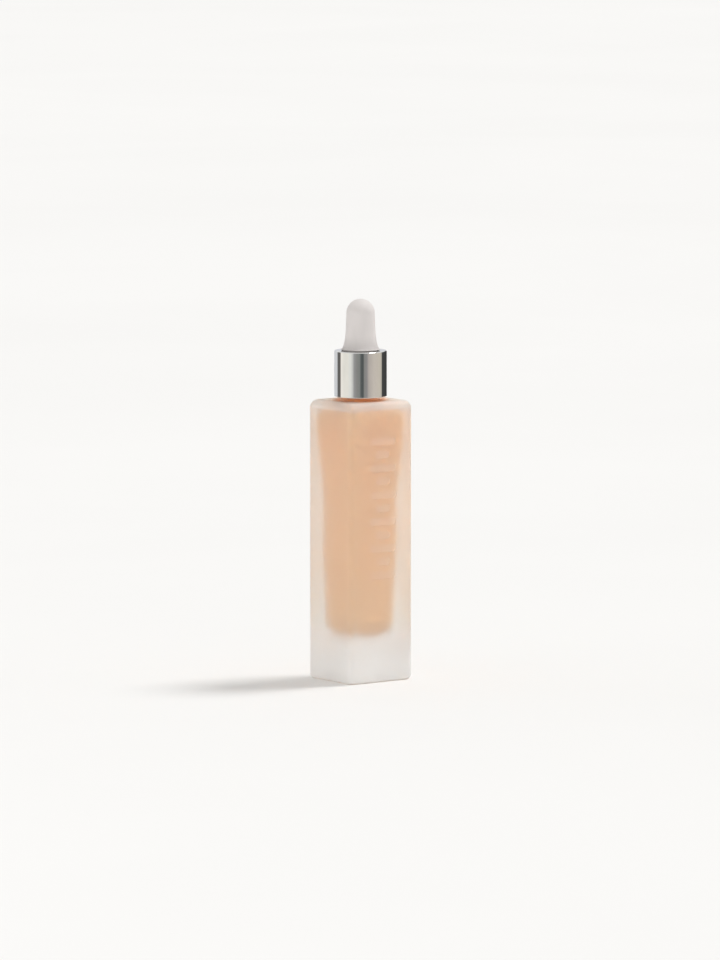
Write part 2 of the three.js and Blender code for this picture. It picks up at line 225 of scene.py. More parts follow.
class StageSettings(bpy.types.PropertyGroup):
    turn: bearing("Turn", "Camera angle round the bottle", -36.6)
    rise: bearing("Rise", "Camera angle above the floor", 6.6)
    distance: length("Distance", "From the camera to the bottle", 3000.0)
    aim: length("Aim", "Height that the camera looks at", 76.1)
    aside: length("Aside", "How far the camera looks past the bottle's axis", -0.2)
    view_height: length("View height", "Height of the view at the bottle", 365.0)
    sun: number("Sun", "Strength of the key light", 1.5)
    softness: bearing("Softness", "Apparent width of the key light", 16)
    fill: number("Fill", "Power of the card on the shaded side", 1.0, unit="POWER")
    sky_low: number("Low sky", "Brightness of the surround at eye level", 1.0)
    sky_high: number("High sky", "Brightness of the surround overhead", 0.55)


SETTINGS = {
    "bottle_glass": GlassSizes,
    "bottle_ornament": OrnamentSizes,
    "bottle_contents": ContentsSizes,
    "bottle_closure": ClosureSizes,
    "bottle_finish": FinishColours,
    "bottle_stage": StageSettings,
}


# ---- modelling helpers -------------------------------------------------------------------------


def smoothstep(value, low, high):
    t = min(max((value - low) / (high - low), 0.0), 1.0)
    return t * t * (3 - 2 * t)


def mix(a, b, t):
    return a + (b - a) * t


def arc(centre_r, centre_z, radius, start, end, steps):
    """Points on an arc in the (radius, height) plane, angles in degrees from +radius."""
    points = []
    for i in range(steps + 1):
        angle = math.radians(mix(start, end, i / steps))
        points.append((centre_r + radius * math.cos(angle), centre_z + radius * math.sin(angle)))
    return points


def rounded(corners, steps=5, closed=True):
    """The profile through (radius, height, round) corners, each one rounded by its own radius.

    A close point on either side of each round holds the flats flat when they are shaded.
    """
    points = []
    count = len(corners)
    for i, (r, z, size) in enumerate(corners):
        here = Vector((r, z))
        if size == 0 or (not closed and i in (0, count - 1)):
            points.append(here)
            continue
        before = Vector(corners[i - 1][:2]) - here
        after = Vector(corners[(i + 1) % count][:2]) - here
        rooms = before.length, after.length
        before.normalize()
        after.normalize()
        half = before.angle(after) / 2
        reach = size / math.tan(half)
        centre = here + (before + after).normalized() * (size / math.sin(half))
        start = (here + before * reach - centre) / size
        end = (here + after * reach - centre) / size
        sweep = math.pi - 2 * half
        if rooms[0] > 3 * reach:
            points.append(here + before * reach * 1.35)
        for step in range(steps + 1):
            t = step / steps
            way = start * math.sin((1 - t) * sweep) + end * math.sin(t * sweep)
            points.append(centre + way * (size / math.sin(sweep)))
        if rooms[1] > 3 * reach:
            points.append(here + after * reach * 1.35)
    return [(p.x, p.y) for p in points]


def select(*pieces):
    """Selects these pieces alone, with the first of them active."""
    bpy.ops.object.select_all(action="DESELECT")
    for piece in pieces:
        piece.select_set(True)
    bpy.context.view_layer.objects.active = pieces[0]


def join(pieces):
    """Joins several meshes into the first of them."""
    select(*pieces)
    bpy.ops.object.join()
    return bpy.context.object


def begin(name):
    """Takes the new primitive into edit mode under the name of its piece."""
    obj = bpy.context.object
    obj.name = name
    obj.data.name = name
    bpy.ops.object.mode_set(mode="EDIT")
    bpy.ops.mesh.select_all(action="SELECT")
    return obj


def close_up(obj):
    """Welds seams and poles, turns every face outwards and leaves edit mode."""
    bpy.ops.mesh.select_all(action="SELECT")
    bpy.ops.mesh.remove_doubles(threshold=WELD)
    bpy.ops.mesh.normals_make_consistent(inside=False)
    bpy.ops.object.mode_set(mode="OBJECT")
    select(obj)
    bpy.ops.object.transform_apply(location=True, rotation=True, scale=True)
    bpy.ops.object.shade_smooth_by_angle(angle=SMOOTH_ANGLE)
    return obj


def turned(name, profile, steps=96):
    """A turned piece: its profile is drawn from one point by extrusion, then spun about Z."""
    points = [Vector((r, 0, z)) for r, z in profile]
    closed = profile[0][0] > 0 or profile[-1][0] > 0
    bpy.ops.object.select_all(action="DESELECT")
    bpy.ops.mesh.primitive_plane_add(size=0.1 * MM, location=points[0])
    obj = begin(name)
    bpy.ops.mesh.merge(type="CENTER")
    route = points[1:] + points[:1] if closed else points[1:]
    at = points[0]
    for point in route:
        bpy.ops.mesh.extrude_vertices_move(TRANSFORM_OT_translate={"value": point - at})
        at = point
    bpy.ops.mesh.select_all(action="SELECT")
    bpy.ops.mesh.spin(steps=steps, angle=TAU, center=(0, 0, 0), axis=(0, 0, 1))
    return close_up(obj)


def rounded_ring(width, depth, radius):
    """The outline of a rounded rectangle, from the +X +Y corner and anticlockwise."""
    ring = []
    corners = [(1, 1, 0), (-1, 1, 90), (-1, -1, 180), (1, -1, 270)]
    arcs = [
        arc(x * (width / 2 - radius), y * (depth / 2 - radius), radius, start, start + 90, ARC_STEPS)
        for x, y, start in corners
    ]
    for i, points in enumerate(arcs):
        ring += points
        (x0, y0), (x1, y1) = points[-1], arcs[(i + 1) % 4][0]
        for step in range(1, SIDE_STEPS):
            t = (1 - math.cos(math.pi * step / SIDE_STEPS)) / 2
            ring.append((mix(x0, x1, t), mix(y0, y1, t)))
    return ring


def round_ring(radius):
    """A circle with its points in the same order as those of a rounded rectangle."""
    first = 45 - 180 * ARC_STEPS / RING_POINTS
    angles = [math.radians(first + 360 * i / RING_POINTS) for i in range(RING_POINTS)]
    return [(radius * math.cos(a), radius * math.sin(a)) for a in angles]


def lofted(name, sections):
    """A closed skin drawn ring by ring from a circle; sections are (height, outline) pairs."""
    bpy.ops.object.select_all(action="DESELECT")
    bpy.ops.mesh.primitive_circle_add(
        vertices=RING_POINTS, radius=1 * MM, location=(0, 0, 0), rotation=(0, 0, 0)
    )
    obj = begin(name)
    mesh = bmesh.from_edit_mesh(obj.data)
    place = mesh.verts.layers.int.new("place")
    # the circle's own points are numbered in the order in which they follow each other
    for number, vert in enumerate(mesh.verts):
        vert[place] = number
    for level, (height, outline) in enumerate(sections):
        if level:
            bpy.ops.mesh.extrude_edges_move(TRANSFORM_OT_translate={"value": (0, 0, 0)})
        mesh = bmesh.from_edit_mesh(obj.data)
        place = mesh.verts.layers.int["place"]
        for vert in mesh.verts:
            if vert.select:
                vert.co = (*outline[vert[place]], height)
        bmesh.update_edit_mesh(obj.data)
        if level in (0, len(sections) - 1):
            bpy.ops.mesh.edge_face_add()
            bpy.ops.mesh.inset(thickness=0.1 * MM)
            bpy.ops.mesh.merge(type="CENTER")
        if level == 0:
            select_open_ring(obj)
    close_up(obj)
    obj.data.attributes.remove(obj.data.attributes["place"])
    return obj


def select_open_ring(obj):
    """Selects the open edge of a skin, and nothing else."""
    bpy.ops.mesh.select_all(action="SELECT")
    mesh = bmesh.from_edit_mesh(obj.data)
    centre = min(mesh.verts, key=lambda vert: Vector(vert.co[:2]).length)
    centre.select = False
    for edge in mesh.edges:
        edge.select = edge.is_boundary
    bmesh.update_edit_mesh(obj.data)


def finish_piece(obj, body, nodes, material):
    """Gives a finished piece its material, its body, and the solids that it stands for.

    A piece that bends between two bodies has no body here.
    """
    obj.data.materials.clear()
    obj.data.materials.append(material)
    if body:
        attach(obj, body)
    if nodes:
        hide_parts(*nodes)
    return obj


# ---- shader helpers and shared effects ---------------------------------------------------------


def add(tree, kind, values=None, **settings):
    """Adds a node; a value that is a socket is linked, any other is set on the input."""
    node = tree.nodes.new(kind)
    for key, value in settings.items():
        setattr(node, key, value)
    for key, value in (values or {}).items():
        if isinstance(value, bpy.types.NodeSocket):
            tree.links.new(value, node.inputs[key])
        else:
            node.inputs[key].default_value = value
    return node


def calc(tree, operation, *values):
    """The result of a Math node."""
    return add(tree, "ShaderNodeMath", dict(enumerate(values)), operation=operation).outputs[0]


def stretched(tree, place, factors):
    """Coordinates multiplied by a factor for each axis."""
    node = add(tree, "ShaderNodeVectorMath", {0: place, 1: factors}, operation="MULTIPLY")
    return node.outputs[0]


def scaled(tree, place, size):
    """Coordinates in units of one feature, from coordinates in metres and the feature's size."""
    values = {0: place, "Scale": calc(tree, "DIVIDE", 1.0, size)}
    return add(tree, "ShaderNodeVectorMath", values, operation="SCALE").outputs[0]


def remap(tree, value, start, end, low=0.0, high=1.0, smooth=False):
    """A value carried from one range to another and held at its ends."""
    values = {"Value": value, "From Min": start, "From Max": end, "To Min": low, "To Max": high}
    kind = "SMOOTHSTEP" if smooth else "LINEAR"
    return add(tree, "ShaderNodeMapRange", values, interpolation_type=kind).outputs[0]


def spread(tree, mask, low, high):
    """A value that runs from low to high with a mask."""
    return remap(tree, mask, 0.0, 1.0, low, high)


def noise(tree, place, **values):
    return add(tree, "ShaderNodeTexNoise", {"Vector": place, "Scale": 1.0, **values}).outputs[0]


def cells(tree, place, size):
    """Distance from the middles of scattered cells."""
    node = add(tree, "ShaderNodeTexVoronoi", {"Vector": place, "Scale": size})
    return node.outputs["Distance"]


def blended(tree, share, first, second, **settings):
    """A colour between two others."""
    values = {0: share, 6: first, 7: second}
    return add(tree, "ShaderNodeMix", values, data_type="RGBA", **settings).outputs[2]


def upward(tree, vector):
    return add(tree, "ShaderNodeSeparateXYZ", {0: vector}).outputs["Z"]


def bump(tree, height, depth, strength=1.0):
    values = {"Height": height, "Distance": depth, "Strength": strength}
    return add(tree, "ShaderNodeBump", values).outputs[0]


def tinted(rgb):
    return (*rgb, 1.0)


def darker(rgb, share):
    return tuple(share * channel for channel in rgb)


def effect(name, inputs, outputs):
    """A shader node group that starts from a place, with its sockets for numbers and colours."""
    tree = bpy.data.node_groups.new(name, "ShaderNodeTree")
    tree.interface.new_socket(name="Place", in_out="INPUT", socket_type="NodeSocketVector")
    for label, value in inputs.items():
        kind = "NodeSocketColor" if isinstance(value, tuple) else "NodeSocketFloat"
        socket = tree.interface.new_socket(name=label, in_out="INPUT", socket_type=kind)
        socket.default_value = value
    for label, kind in outputs.items():
        tree.interface.new_socket(name=label, in_out="OUTPUT", socket_type=kind)
    return tree, tree.nodes.new("NodeGroupInput").outputs, tree.nodes.new("NodeGroupOutput").inputs


def fine_grain():
    """A small even tooth: the bite of an etch, or the texture of a mould."""
    tree, given, out = effect("Fine grain", {"Size": 0.3 * MM}, {"Height": "NodeSocketFloat"})
    place = scaled(tree, given["Place"], given["Size"])
    pits = cells(tree, place, 1.6)
    height = calc(tree, "MULTIPLY_ADD", pits, 0.35, noise(tree, place, Detail=3.0))
    tree.links.new(height, out["Height"])
    return tree


def tone_drift():
    """Slow, soft drift of a colour between two tones, stretched along the height."""
    white = (1, 1, 1, 1)
    tree, given, out = effect(
        "Tone drift",
        {"Size": 12 * MM, "First": white, "Second": white},
        {"Colour": "NodeSocketColor", "Mask": "NodeSocketFloat"},
    )
    place = scaled(tree, stretched(tree, given["Place"], (1, 1, 0.45)), given["Size"])
    drift = noise(tree, place, Detail=4.0, Roughness=0.55, Distortion=0.4)
    mask = remap(tree, drift, 0.35, 0.65)
    tree.links.new(blended(tree, mask, given["First"], given["Second"]), out["Colour"])
    tree.links.new(mask, out["Mask"])
    return tree


def handling_marks():
    """Smudges and faint rubs left by fingers, as a mask."""
    tree, given, out = effect(
        "Handling marks", {"Size": 6 * MM, "Amount": 0.5}, {"Mask": "NodeSocketFloat"}
    )
    place = scaled(tree, given["Place"], given["Size"])
    blotch = noise(tree, place, Detail=2.0, Distortion=1.2)
    smudges = remap(tree, blotch, 0.5, 0.72, smooth=True)
    rubs = noise(tree, place, Scale=9.0, Detail=2.0, Distortion=0.3)
    both = calc(tree, "MULTIPLY", smudges, rubs)
    tree.links.new(calc(tree, "MULTIPLY", both, given["Amount"]), out["Mask"])
    return tree


def settled_dust():
    """Specks of dust, thickest on faces that look up, as a mask."""
    tree, given, out = effect("Settled dust", {"Amount": 0.3}, {"Mask": "NodeSocketFloat"})
    up = upward(tree, add(tree, "ShaderNodeNewGeometry").outputs["Normal"])
    lie = remap(tree, up, 0.0, 1.0, 0.15, 1.0)
    specks = cells(tree, scaled(tree, given["Place"], 0.5 * MM), 1.0)
    here = calc(tree, "MULTIPLY", remap(tree, specks, 0.28, 0.12), lie)
    tree.links.new(calc(tree, "MULTIPLY", here, given["Amount"]), out["Mask"])
    return tree


EFFECTS = {
    "Fine grain": fine_grain,
    "Tone drift": tone_drift,
    "Handling marks": handling_marks,
    "Settled dust": settled_dust,
}


def use_effect(tree, name, values):
    """Places a shared effect in a material; it is built the first time it is asked for."""
    group = bpy.data.node_groups.get(name) or EFFECTS[name]()
    return add(tree, "ShaderNodeGroup", values, node_tree=group, label=name).outputs


def grain_on(tree, place, size):
    return use_effect(tree, "Fine grain", {"Place": place, "Size": size})["Height"]


def marks_on(tree, place, size, amount=1.0):
    values = {"Place": place, "Size": size, "Amount": amount}
    return use_effect(tree, "Handling marks", values)["Mask"]


def dust_on(tree, place, amount):
    return use_effect(tree, "Settled dust", {"Place": place, "Amount": amount})["Mask"]


def tones_on(tree, place, size, first, second):
    return use_effect(tree, "Tone drift", {
        "Place": place, "Size": size, "First": tinted(first), "Second": tinted(second),
    })


def begin_material(name):
    """A new material: its tree, its Principled shader and the piece's own coordinates."""
    material = bpy.data.materials.new(name)
    material.use_nodes = True
    tree = material.node_tree
    shader = tree.nodes["Principled BSDF"]
    place = tree.nodes.new("ShaderNodeTexCoord").outputs["Object"]
    return material, tree, shader, place


def end_material(tree, shader, tint, rough, normal):
    """Links the three things that every finish varies over its surface."""
    tree.links.new(tint, shader.inputs["Base Color"])
    tree.links.new(rough, shader.inputs["Roughness"])
    tree.links.new(normal, shader.inputs["Normal"])


# ---- finishes ----------------------------------------------------------------------------------


def frosted_glass(clearness):
    """Acid-etched glass, clear again over the neck where the etch was masked, with a painted glow:
    the light through the liquid is painted into its colour where the liquid is behind it, cool over
    the walls and peach round the neck.
    """
    finish = bpy.context.scene.bottle_finish
    material, tree, shader, place = begin_material(f"frosted glass {clearness * 100:.0f}")
    tones = tones_on(tree, place, 14 * MM, finish.glass, finish.glass_shade)
    grain = grain_on(tree, place, 0.25 * MM)
    height = upward(tree, place)
    neck = remap(tree, height, *MASKED_FROM)
    etched = spread(tree, marks_on(tree, place, 9 * MM, 0.6), 0.62, 0.5)
    rough = add(tree, "ShaderNodeMix", {0: neck, 2: etched, 3: 0.12}, data_type="FLOAT").outputs[0]
    # Painted glow: where the liquid is behind the glass, and on the shoulder round the neck, the
    # light through it is painted into the glass's colour
    behind = remap(tree, height, *LIQUID_FROM, smooth=True)
    flat = stretched(tree, place, (1, 1, 0))
    radius = add(tree, "ShaderNodeVectorMath", {0: flat}, operation="LENGTH").outputs["Value"]
    near_neck = remap(tree, radius, *NECK_GLOW_RADII, smooth=True)
    on_top = remap(tree, height, *NECK_GLOW_FROM)
    thin = calc(tree, "MULTIPLY", near_neck, on_top)
    painted_glow = blended(tree, thin, tinted(finish.painted_glow), tinted(finish.painted_neck_glow))
    skin = blended(tree, behind, tones["Colour"], painted_glow, blend_type="MULTIPLY")
    end_material(tree, shader, skin, rough, bump(tree, grain, 0.01 * MM, 0.5))
    shader.inputs["Transmission Weight"].default_value = clearness
    shader.inputs["IOR"].default_value = GLASS_IOR
    return material


def liquid_foundation(name, tone, shade):
    """Opaque, creamy liquid with faint pigment streaks."""
    material, tree, shader, place = begin_material(name)
    tones = tones_on(tree, place, 10 * MM, tone, shade)
    ripple = grain_on(tree, place, 1.6 * MM)
    rough = spread(tree, tones["Mask"], 0.34, 0.42)
    end_material(tree, shader, tones["Colour"], rough, bump(tree, ripple, 0.02 * MM, 0.4))
    return material


def white_moulding():
    """Injection-moulded plastic with a fine spark texture."""
    finish = bpy.context.scene.bottle_finish
    material, tree, shader, place = begin_material("white moulding")
    tones = tones_on(tree, place, 5 * MM, finish.moulding, darker(finish.moulding, 0.95))
    grain = grain_on(tree, place, 0.18 * MM)
    rough = spread(tree, marks_on(tree, place, 4 * MM), 0.42, 0.28)
    end_material(tree, shader, tones["Colour"], rough, bump(tree, grain, 0.015 * MM, 0.6))
    return material


def seal_foam():
    """Closed-cell foam, with its cells open on the cut faces."""
    finish = bpy.context.scene.bottle_finish
    material, tree, shader, place = begin_material("seal foam")
    pores = cells(tree, place, 3200.0)
    tint = blended(tree, pores, tinted(darker(finish.foam, 0.86)), tinted(finish.foam))
    rough = spread(tree, grain_on(tree, place, 0.3 * MM), 0.7, 0.95)
    end_material(tree, shader, tint, rough, bump(tree, pores, 0.05 * MM, 0.7))
    return material


def clear_glass():
    """Drawn glass tube with a thin film of product and finger marks."""
    material, tree, shader, place = begin_material("clear glass")
    tones = tones_on(tree, place, 8 * MM, (0.98, 0.985, 0.985), (0.93, 0.94, 0.94))
    drawn = noise(tree, stretched(tree, place, (900, 900, 40)), Detail=1.0)
    rough = spread(tree, marks_on(tree, place, 5 * MM), 0.03, 0.2)
    end_material(tree, shader, tones["Colour"], rough, bump(tree, drawn, 0.01 * MM, 0.3))
    shader.inputs["Transmission Weight"].default_value = 1.0
    shader.inputs["IOR"].default_value = GLASS_IOR
    return material


def polished_metal():
    """Anodised aluminium with a mirror polish, faint turning lines and finger marks."""
    finish = bpy.context.scene.bottle_finish
    material, tree, shader, place = begin_material("polished metal")
    tones = tones_on(tree, place, 7 * MM, finish.metal, darker(finish.metal, 0.93))
    lines = noise(tree, stretched(tree, place, (60, 60, 16000)), Detail=2.0)
    polish = spread(tree, marks_on(tree, place, 5 * MM, 0.8), 0.02, 0.07)
    rough = calc(tree, "MULTIPLY_ADD", dust_on(tree, place, 0.35), 0.5, polish)
    end_material(tree, shader, tones["Colour"], rough, bump(tree, lines, 0.0003 * MM, 0.1))
    shader.inputs["Metallic"].default_value = 1.0
    return material


def white_rubber():
    """Soft matte rubber with a fine skin, a pale bloom, a little dust and painted shade towards its
    foot by the collar.
    """
    finish = bpy.context.scene.bottle_finish
    material, tree, shader, place = begin_material("white rubber")
    tones = tones_on(tree, place, 6 * MM, finish.rubber, finish.rubber_shade)
    # Painted shade: the rubber is darkened towards its foot, where it meets the collar
    foot_shade = remap(tree, upward(tree, place), *FOOT_SHADE_FADES, 0.82, 1.0, smooth=True)
    values = {0: tones["Colour"], "Scale": foot_shade}
    shaded_tones = add(tree, "ShaderNodeVectorMath", values, operation="SCALE").outputs[0]
    tint = blended(tree, dust_on(tree, place, 0.3), shaded_tones, tinted((0.62, 0.6, 0.58)))
    grain = grain_on(tree, place, 0.22 * MM)
    rough = spread(tree, marks_on(tree, place, 5 * MM), 0.62, 0.46)
    end_material(tree, shader, tint, rough, bump(tree, grain, 0.02 * MM, 0.6))
    return material


def plain_floor():
    """Seamless painted studio floor with a trace of unevenness."""
    finish = bpy.context.scene.bottle_finish
    material, tree, shader, place = begin_material("studio floor")
    tones = tones_on(tree, place, 400 * MM, finish.floor, darker(finish.floor, 0.985))
    tree.links.new(tones["Colour"], shader.inputs["Base Color"])
    shader.inputs["Roughness"].default_value = 1.0
    shader.inputs["Specular IOR Level"].default_value = 0.0
    return material


# ---- glass bottle ------------------------------------------------------------------------------


def outer_size():
    """Width and depth of the glass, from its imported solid."""
    low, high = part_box("glass_bottle")
    return high.x - low.x, high.y - low.y


def wall_at(glass, z):
    """Thickness of the glass wall at a height."""
    foot, waist, upper = WALL_CHANGES
    if z > upper:
        return mix(glass.wall_waist, glass.wall_shoulder, smoothstep(z, upper, glass.arch))
    return mix(glass.wall_foot, glass.wall_waist, smoothstep(z, foot, waist))


def cavity_sections(glass, gap):
    """The inside of the glass from its floor to the start of its arch, drawn in by a gap."""
    width, depth = outer_size()

    def section(z, inset):
        trim = 2 * (wall_at(glass, z) + inset + gap)
        radius = max(glass.cavity_corner - gap - 0.4 * inset, 1 * MM)
        return z, rounded_ring(width - trim, depth - trim, radius)

    round_r = glass.cavity_round - gap
    centre = glass.cavity_floor + glass.cavity_round
    floor = [section(z, round_r - r) for r, z in arc(0, centre, round_r, -90, 0, 9)]
    heights = [26, 29, 32, 35, 39, 43, 47, 52, 60, 68, 72, 77, 82, 87, 92, 96]
    walls = [section(z * MM, 0) for z in heights]
    walls.append(section(glass.arch, 0))
    return floor + walls


def arch_section(glass, rise, gap):
    """One section of the arch between the walls, where rise is 0, and the bore, where it is 1."""
    width, depth = outer_size()
    across = math.sqrt(max(1 - rise * rise, 0))
    trim = 2 * glass.wall_shoulder
    radius = mix(glass.bore, glass.cavity_corner, across) - gap
    square = rounded_ring(
        mix(2 * glass.bore, width - trim, across) - 2 * gap,
        mix(2 * glass.bore, depth - trim, across) - 2 * gap,
        radius,
    )
    circle = round_ring(glass.bore - gap)
    share = smoothstep(rise, 0.75, 1)
    outline = [(mix(a, c, share), mix(b, d, share)) for (a, b), (c, d) in zip(square, circle)]
    return mix(glass.arch, glass.arch_top, rise), outline


def inside_sections(glass, gap):
    """The whole inside below the neck, from the bore down to the middle of the floor."""
    bore = round_ring(glass.bore - gap)
    return [
        (glass.arch_top + 0.6 * MM, bore),
        (glass.arch_top, bore),
        *[arch_section(glass, math.sin(math.radians(a)), gap) for a in range(80, 0, -10)],
        *reversed(cavity_sections(glass, gap)),
        (glass.cavity_floor + gap, round_ring(0.4 * MM)),
    ]


def thread_ring(glass, z):
    """A ring of the neck, lifted where the thread passes."""
    ring = []
    for x, y in round_ring(1.0):
        turn = (math.atan2(y, x) / TAU) % 1.0
        lift = 0.0
        while turn <= glass.turns:
            offset = abs(z - glass.thread_start - glass.pitch * turn)
            ends = smoothstep(min(turn, glass.turns - turn), 0, 0.06)
            lift = max(lift, ends * (1 - smoothstep(offset, 0.35 * MM, 0.65 * MM)))
            turn += 1
        radius = mix(glass.neck, glass.crest, lift)
        ring.append((radius * x, radius * y))
    return z, ring


def bottle_sections(glass):
    """Every section of the glass: under the base, up the outside, over the lip and down inside."""
    width, depth = outer_size()

    def block(z, inset):
        radius = max(glass.corner - 0.5 * inset, 0.6 * MM)
        return z, rounded_ring(width - 2 * inset, depth - 2 * inset, radius)

    sphere = (glass.punt**2 + glass.punt_depth**2) / (2 * glass.punt_depth)
    hollow = []
    for share in (0.02, 0.3, 0.55, 0.78, 0.93, 1.0):
        r = glass.punt * share
        hollow.append((glass.punt_depth - sphere + math.sqrt(sphere**2 - r**2), round_ring(r)))
    heel = [block(z, glass.heel - r) for r, z in arc(0, glass.heel, glass.heel, -90, 0, 7)]
    top = glass.height - glass.shoulder
    levels = (glass.heel + 0.5 * MM, *FROST_LEVELS, top - FROST_EASE)
    sides = [block(z, 0) for z in levels]
    shoulder = [block(z, glass.shoulder - r) for r, z in arc(0, top, glass.shoulder, 0, 90, 9)]
    fillet = arc(
        glass.neck + glass.neck_fillet, glass.height + glass.neck_fillet,
        glass.neck_fillet, 270, 180, 5,
    )
    root = [(glass.height, round_ring(glass.neck + 1.4 * glass.neck_fillet))]
    root += [(z, round_ring(r)) for r, z in fillet]
    threads = [thread_ring(glass, mix(*THREAD_ZONE, i / 32)) for i in range(33)]
    lip = [
        (z, round_ring(r))
        for r, z in [
            *arc(glass.neck - 0.7 * MM, glass.lip - 0.7 * MM, 0.7 * MM, 0, 90, 5),
            *arc(glass.bore + 0.5 * MM, glass.lip - 0.5 * MM, 0.5 * MM, 90, 180, 4),
        ]
    ]
    return [*hollow, *heel, *sides, *shoulder, *root, *threads, *lip, *inside_sections(glass, 0)]


def debossed_column(glass_piece, ornament):
    """Sinks a column of plain bars, wide and narrow by turns, into the -Y side."""
    low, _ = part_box("glass_bottle")
    bpy.ops.object.select_all(action="DESELECT")
    step = (ornament.high - ornament.low) / (ornament.count - 1)
    bars = []
    for i in range(ornament.count):
        width = ornament.narrow if i % 2 else ornament.wide
        bpy.ops.mesh.primitive_cube_add(
            size=1.0, location=(ornament.centre, low.y, ornament.low + i * step),
            scale=(width, 2 * ornament.depth, ornament.bar),
        )
        bar = begin(f"bar_{i}")
        mesh = bmesh.from_edit_mesh(bar.data)
        for edge in mesh.edges:
            across = edge.verts[0].co - edge.verts[1].co
            edge.select = abs(across.y) > abs(across.x) + abs(across.z)
        bmesh.update_edit_mesh(bar.data)
        bpy.ops.mesh.bevel(offset=0.49 * ornament.bar, segments=8, affect="EDGES")
        close_up(bar)
        bars.append(bar)
    cutter = join(bars)
    select(glass_piece)
    cut = glass_piece.modifiers.new("column", "BOOLEAN")
    cut.operation = "DIFFERENCE"
    cut.solver = "EXACT"
    cut.object = cutter
    bpy.ops.object.modifier_apply(modifier=cut.name)
    bpy.data.objects.remove(cutter)
    bpy.ops.object.shade_smooth_by_angle(angle=SMOOTH_ANGLE)


class BOTTLE_OT_glass(bpy.types.Operator):
    """Draws the glass bottle with its thick foot, threaded neck and debossed column"""

    bl_idname = "bottle.glass"
    bl_label = "Glass Bottle"

    def execute(self, context):
        glass, ornament = context.scene.bottle_glass, context.scene.bottle_ornament
        piece = lofted("glass_body", bottle_sections(glass))
        debossed_column(piece, ornament)
        finishes = [frosted_glass(clear) for clear in (*FROST_CLEARNESS, RECESS_CLEARNESS)]
        finish_piece(piece, "bottle", ["glass_bottle"], finishes[0])
        for finish in finishes[1:]:
            piece.data.materials.append(finish)
        recess_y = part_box("glass_bottle")[0].y + ornament.depth
        round_over = glass.height - glass.shoulder - FROST_EASE
        for face in piece.data.polygons:
            at = face.center
            in_recess = abs(at.y - recess_y) < 0.05 * MM and abs(face.normal.y) > 0.9
            level = sum(at.z > z for z in FROST_LEVELS)
            if at.z > round_over and Vector(at[:2]).length > SHOULDER_FROST_R:
                level -= 2 if at.z > round_over + FROST_EASE else 1
            face.material_index = len(FROST_CLEARNESS) if in_recess else level
        return {"FINISHED"}


class BOTTLE_OT_contents(bpy.types.Operator):
    """Fills the bottle with foundation, up into its neck"""

    bl_idname = "bottle.contents"
    bl_label = "Foundation"

    def execute(self, context):
        glass, contents = context.scene.bottle_glass, context.scene.bottle_contents
        gap = -contents.wetting
        dip = contents.dip
        level = contents.level
        climb = contents.meniscus
        bore = glass.bore - gap
        hole = [
            (contents.dip_floor, round_ring(0.3 * MM)),
            (contents.dip_floor, round_ring(dip - 0.6 * MM)),
            (contents.dip_floor + 0.2 * MM, round_ring(dip - 0.15 * MM)),
            (contents.dip_floor + 0.6 * MM, round_ring(dip)),
            (level + 0.8 * climb, round_ring(dip)),
            (level + climb, round_ring(dip + 0.05 * MM)),
            (level + 0.3 * climb, round_ring(dip + 0.25 * MM)),
            (level, round_ring((dip + bore) / 2)),
            (level + 0.3 * climb, round_ring(bore - 0.25 * MM)),
            (level + climb, round_ring(bore)),
            (level, round_ring(bore)),
        ]
        piece = lofted("foundation_liquid", [*hole, *inside_sections(glass, gap)])
        finish = context.scene.bottle_finish
        liquid = liquid_foundation("liquid foundation", finish.liquid, finish.liquid_shade)
        finish_piece(piece, "bottle", ["foundation_fill"], liquid)
        return {"FINISHED"}


# ---- neck fitment and pipette ------------------------------------------------------------------


class BOTTLE_OT_seals(bpy.types.Operator):
    """Turns the wiper that strips the pipette and the washer that seals the lip"""

    bl_idname = "bottle.seals"
    bl_label = "Wiper and Washer"

    def execute(self, context):
        closure = context.scene.bottle_closure
        low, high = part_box("pipette_wiper")
        flange_z = high.z - closure.wiper_wall
        bore = closure.wiper - closure.wiper_wall
        wiper = turned("neck_wiper", rounded([
            (closure.wiper_lip, low.z, 0.0),
            (closure.wiper_lip + 0.35 * MM, low.z + 0.02 * MM, 0.0),
            (closure.wiper, low.z + 2.4 * MM, 0.8 * MM),
            (closure.wiper, flange_z, 0.15 * MM),
            (high.x, flange_z, 0.2 * MM),
            (high.x, high.z, 0.25 * MM),
            (bore, high.z, 0.45 * MM),
            (bore, low.z + 2.2 * MM, 0.6 * MM),
        ]))
        finish_piece(wiper, "bottle", ["pipette_wiper"], white_moulding())
        low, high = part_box("sealing_gasket")
        outline = [(WASHER_HOLE, low.z), (high.x, low.z), (high.x, high.z), (WASHER_HOLE, high.z)]
        washer = turned("sealing_washer", rounded([(r, z, 0.12 * MM) for r, z in outline]))
        finish_piece(washer, "dropper_seal", ["sealing_gasket"], seal_foam())
        return {"FINISHED"}


